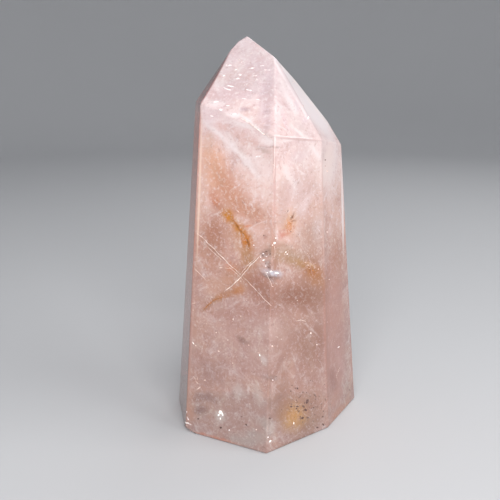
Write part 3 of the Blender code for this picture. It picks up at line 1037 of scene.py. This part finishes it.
def face_dashes(count, chance):
    """Thin dashes that the polished faces cut, each at a random place of a random triangle and along it.

    A triangle's share is its area. A place in it is a + u (b - a) + v (c - a), with u and v folded
    back into the triangle, and fewer and fewer places are kept towards the foot.
    """
    corners = STONE_POINTS[STONE_TRIANGLES]
    across = np.cross(corners[:, 1] - corners[:, 0], corners[:, 2] - corners[:, 0])
    doubled = np.linalg.norm(across, axis=1)
    low, high = CAD_BOX[0][2], CAD_BOX[1][2]
    picked = chance.choice(len(doubled), count, p=doubled / doubled.sum())
    u, v = chance.uniform(0, 1, (2, count, 1))
    u, v = np.where(u + v > 1, 1 - u, u), np.where(u + v > 1, 1 - v, v)
    first, second, third = corners[picked].transpose(1, 0, 2)
    places = first + u * (second - first) + v * (third - first)
    likely = 1 - DASHES_LOST_AT_FOOT * (1 - (places[:, 2] - low) / (high - low))
    kept = chance.uniform(0, 1, count) < likely
    places, outward = places[kept], (across / doubled[:, None])[picked][kept]
    along = unit(np.cross(outward, chance.normal(size=outward.shape)))
    turns = np.stack([along, np.cross(outward, along), outward], axis=2)
    length = DASH_LENGTH * chance.lognormal(0, 0.5, len(places))
    width = DASH_WIDTH * chance.lognormal(0, 0.3, len(places))
    sizes = np.stack([length, width, np.full(len(places), -FLUSH * MM)], axis=1)
    return grains(places, sizes, turns)


def random_flakes(count, chance):
    """Healed cracks out of the photograph's view, each a flake on its own random axes, bent a little."""
    places = places_under_faces(count * 6, HIDDEN_DEEPEST, chance)
    places = places[places[:, 1] > HIDDEN_FOREMOST][:count]
    sizes = chance.uniform(*HIDDEN_HALF_SIZES, len(places)) * MM
    turns = chance_turns(len(places), chance)
    angles, radii = disc(rings=5, spokes=28)
    parts = []
    for place, size, axes in zip(places, sizes, turns):
        rim = ragged_rim(angles, 0.6, chance)
        u, v = radii * rim * np.cos(angles), radii * rim * np.sin(angles) * 0.6
        bend = 0.12 * np.sin(3 * u + 2 * v) + 0.15 * u**2
        middle = place + size * (np.stack([u, v, bend], axis=-1) @ axes.T)
        parts.append(two_sided(middle, (HIDDEN_HALF_THICKNESS * (1 - radii**2))[..., None] * axes[:, 2]))
    return parts


# The floor's flat radius, the radius that it bends up with, its wall's height, and the corners of its round
FLOOR_RADIUS = 0.6
FLOOR_BEND = 0.4
WALL_HEIGHT = 1.2
FLOOR_SPOKES = 96

# The soft lights by their place, size and aim
Lamp = namedtuple("Lamp", "place size aim")
LAMPS = {
    "key": Lamp((0.02, -0.43, 0.27), 0.4, (0, 0, 0.055)),
    "side": Lamp((0.36, -0.14, 0.34), 0.3, (0, 0, 0.07)),
    "back": Lamp((0.2, 0.36, 0.42), 0.3, (0, 0, 0.07)),
}
ROOM_COLOUR = (0.86, 0.9, 0.95, 1)


def cove():
    """A round floor that curves up into a wall: a level, a quarter circle and an upright, turned about Z."""
    turn = np.linspace(0, math.pi / 2, 24)
    radii = np.concatenate([[0.02, 0.1, 0.3, 0.48], FLOOR_RADIUS + FLOOR_BEND * np.sin(turn)])
    radii = np.append(radii, FLOOR_RADIUS + FLOOR_BEND)
    heights = np.concatenate([[0, 0, 0, 0], FLOOR_BEND - FLOOR_BEND * np.cos(turn), [WALL_HEIGHT]])
    angles = np.arange(FLOOR_SPOKES) * 2 * math.pi / FLOOR_SPOKES
    round_turn = np.stack([np.cos(angles), np.sin(angles)], axis=-1)
    flat = radii[:, None, None] * round_turn
    points = np.concatenate([flat, np.broadcast_to(heights[:, None, None], (*flat.shape[:2], 1))], axis=-1)
    rings = np.arange(points.shape[0] * FLOOR_SPOKES).reshape(-1, FLOOR_SPOKES)
    faces = [ring_quads(outer, inner)[:, ::-1] for inner, outer in zip(rings[:-1], rings[1:])]
    mesh = bpy.data.meshes.new("floor")
    mesh.from_pydata(points.reshape(-1, 3).tolist(), [], [rings[0].tolist(), *np.concatenate(faces).tolist()])
    shade_all(mesh)
    return mesh


def soft_light(name, lamp, power):
    """A square soft light, aimed at a point."""
    data = bpy.data.lights.new(name, "AREA")
    data.size, data.energy = lamp.size, power
    light = placed(name, data)
    light.location = lamp.place
    light.rotation_euler = (Vector(lamp.aim) - Vector(lamp.place)).to_track_quat("-Z", "Y").to_euler()


# Operators

class PolishStone(bpy.types.Operator):
    """Stands the polished stone for the ground solid"""
    bl_idname = "rose_quartz.polish_stone"
    bl_label = "Polish the stone"

    def execute(self, context):
        polished_stone(quartz_finish(context.scene.rose_quartz))
        return {"FINISHED"}


class LayVeils(bpy.types.Operator):
    """Lays the white veils of healed cracks in the stone"""
    bl_idname = "rose_quartz.lay_veils"
    bl_label = "Lay the veils"

    def execute(self, context):
        settings = context.scene.rose_inclusions
        chance = np.random.default_rng(settings.seed)
        white = flaw_finish("white_veil")
        inner_piece("white_veils", sheets(VEILS, chance), white, VEIL_MARGIN)
        inner_piece("hidden_veils", random_flakes(settings.hidden_veils, chance), white)
        return {"FINISHED"}


class OpenCracks(bpy.types.Operator):
    """Opens the hairline cracks and their bright spots"""
    bl_idname = "rose_quartz.open_cracks"
    bl_label = "Open the cracks"

    def execute(self, context):
        settings = context.scene.rose_inclusions
        chance = np.random.default_rng(settings.seed + 1)
        inner_piece("hairline_cracks", blades(CRACKS), flaw_finish("crack_light"), FLUSH)
        # White flaws in the faces, painted near white as glints of light off cracks
        inner_piece("bright_flaws", dots(GLINTS, chance), flaw_finish("bright_flaw"), FLUSH)
        dashes = face_dashes(settings.dash_count, chance)
        soft = dots(SOFT_GLINTS, chance, SOFT_WIDER)
        inner_piece("soft_flaws", soft, flaw_finish("soft_flaw"), FLUSH)
        faint = [*dots(FAINT_GLINTS, chance), dashes]
        inner_piece("faint_flaws", faint, flaw_finish("faint_flaw"), FLUSH)
        return {"FINISHED"}


class StainCracks(bpy.types.Operator):
    """Lays the orange-brown iron stains along the cracks"""
    bl_idname = "rose_quartz.stain_cracks"
    bl_label = "Stain the cracks"

    def execute(self, context):
        chance = np.random.default_rng(context.scene.rose_inclusions.seed + 2)
        inner_piece("iron_stains", sheets(STAINS, chance), flaw_finish("iron_stain"))
        inner_piece("rusty_cracks", blades(RUSTY_CRACKS), flaw_finish("rusty_crack"), FLUSH)
        return {"FINISHED"}


class StrewFlecks(bpy.types.Operator):
    """Strews tiny pale flecks through the stone"""
    bl_idname = "rose_quartz.strew_flecks"
    bl_label = "Strew the flecks"

    def execute(self, context):
        settings = context.scene.rose_inclusions
        chance = np.random.default_rng(settings.seed + 3)
        places = places_under_faces(settings.fleck_count, FLECK_DEEPEST, chance)
        sizes = settings.fleck_size * chance.lognormal(0, 0.5, (len(places), 1)) * FLECK_SHAPE
        flecks = grains(places, sizes, chance_turns(len(places), chance))
        inner_piece("pale_flecks", [flecks], flaw_finish("pale_fleck"), smooth=False)
        return {"FINISHED"}


class StrewSpecks(bpy.types.Operator):
    """Sets the dark specks near the foot and strews fine grit round them"""
    bl_idname = "rose_quartz.strew_specks"
    bl_label = "Strew the specks"

    def execute(self, context):
        settings = context.scene.rose_inclusions
        chance = np.random.default_rng(settings.seed + 4)
        places = places_under_faces(settings.grit_count * 12, GRIT_DEEPEST, chance)
        places = places[places[:, 2] < chance.uniform(*GRIT_HEIGHTS, len(places)) * MM][:settings.grit_count]
        sizes = GRIT_SIZE * chance.lognormal(0, 0.35, (len(places), 1)) * GRIT_SHAPE
        grit = grains(places, sizes, chance_turns(len(places), chance))
        sizes = chance.lognormal(-0.6, 0.35, (SPECK_CLUSTER, 1)) * SPECK_SHAPE
        middles = np.clip(chance.normal(SPECK_MIDDLE, SPECK_SPREAD, (SPECK_CLUSTER, 2)), *SPECK_LIMITS)
        cluster = np.column_stack([middles, sizes, chance.uniform(0, 180, SPECK_CLUSTER)])
        specks = [*dots([*SPECKS, *cluster.tolist()], chance, SPECK_WIDER), grit]
        inner_piece("dark_specks", specks, flaw_finish("dark_speck"), FLUSH)
        return {"FINISHED"}


class SetStage(bpy.types.Operator):
    """Sets the camera, the floor and the lights"""
    bl_idname = "rose_quartz.set_stage"
    bl_label = "Set the stage"

    def execute(self, context):
        settings = context.scene.rose_stage
        lens = bpy.data.cameras.new("camera")
        lens.lens, lens.sensor_width, lens.clip_start = CAMERA_LENS, CAMERA_SENSOR, 0.01
        camera = placed("camera", lens)
        camera.location = CAMERA_PLACE
        camera.rotation_euler = (math.pi / 2 - CAMERA_PITCH, 0, 0)
        context.scene.camera = camera
        floor = placed("floor", cove())
        floor.data.materials.append(floor_finish(settings.floor_colour))
        world = bpy.data.worlds.new("room")
        world.use_nodes = True
        background = world.node_tree.nodes["Background"]
        background.inputs["Color"].default_value = ROOM_COLOUR
        background.inputs["Strength"].default_value = settings.room_light
        context.scene.world = world
        context.scene.view_settings.view_transform = "Standard"
        for name, lamp in LAMPS.items():
            soft_light(f"{name}_light", lamp, getattr(settings, f"{name}_power"))
        return {"FINISHED"}


class StonePanel(bpy.types.Panel):
    """Lists the stone's settings and steps"""
    bl_label = "Rose quartz"
    bl_idname = "VIEW3D_PT_rose_quartz"
    bl_space_type = "VIEW_3D"
    bl_region_type = "UI"
    bl_category = "Rose quartz"

    def draw(self, context):
        for name, kind in SETTINGS.items():
            group = getattr(context.scene, name)
            box = self.layout.box()
            box.label(text=kind.__doc__)
            for setting in kind.__annotations__:
                box.prop(group, setting)
        for step in STEPS:
            self.layout.operator(step.bl_idname)


SETTINGS = {
    "rose_quartz": QuartzSettings,
    "rose_inclusions": InclusionSettings,
    "rose_stage": StageSettings,
}
STEPS = [PolishStone, LayVeils, OpenCracks, StainCracks, StrewFlecks, StrewSpecks, SetStage]


def register():
    """Registers the settings, the steps and the panel."""
    for name, group in SETTINGS.items():
        bpy.utils.register_class(group)
        setattr(bpy.types.Scene, name, PointerProperty(type=group))
    for step in [*STEPS, StonePanel]:
        bpy.utils.register_class(step)


def unregister():
    """Takes the panel, the steps and the settings away again."""
    for step in [StonePanel, *reversed(STEPS)]:
        bpy.utils.unregister_class(step)
    for name, group in SETTINGS.items():
        delattr(bpy.types.Scene, name)
        bpy.utils.unregister_class(group)


def main():
    """Registers the add-on and runs its steps in order."""
    register()
    for step in STEPS:
        family, name = step.bl_idname.split(".")
        getattr(getattr(bpy.ops, family), name)()


if __name__ == "__main__":
    main()
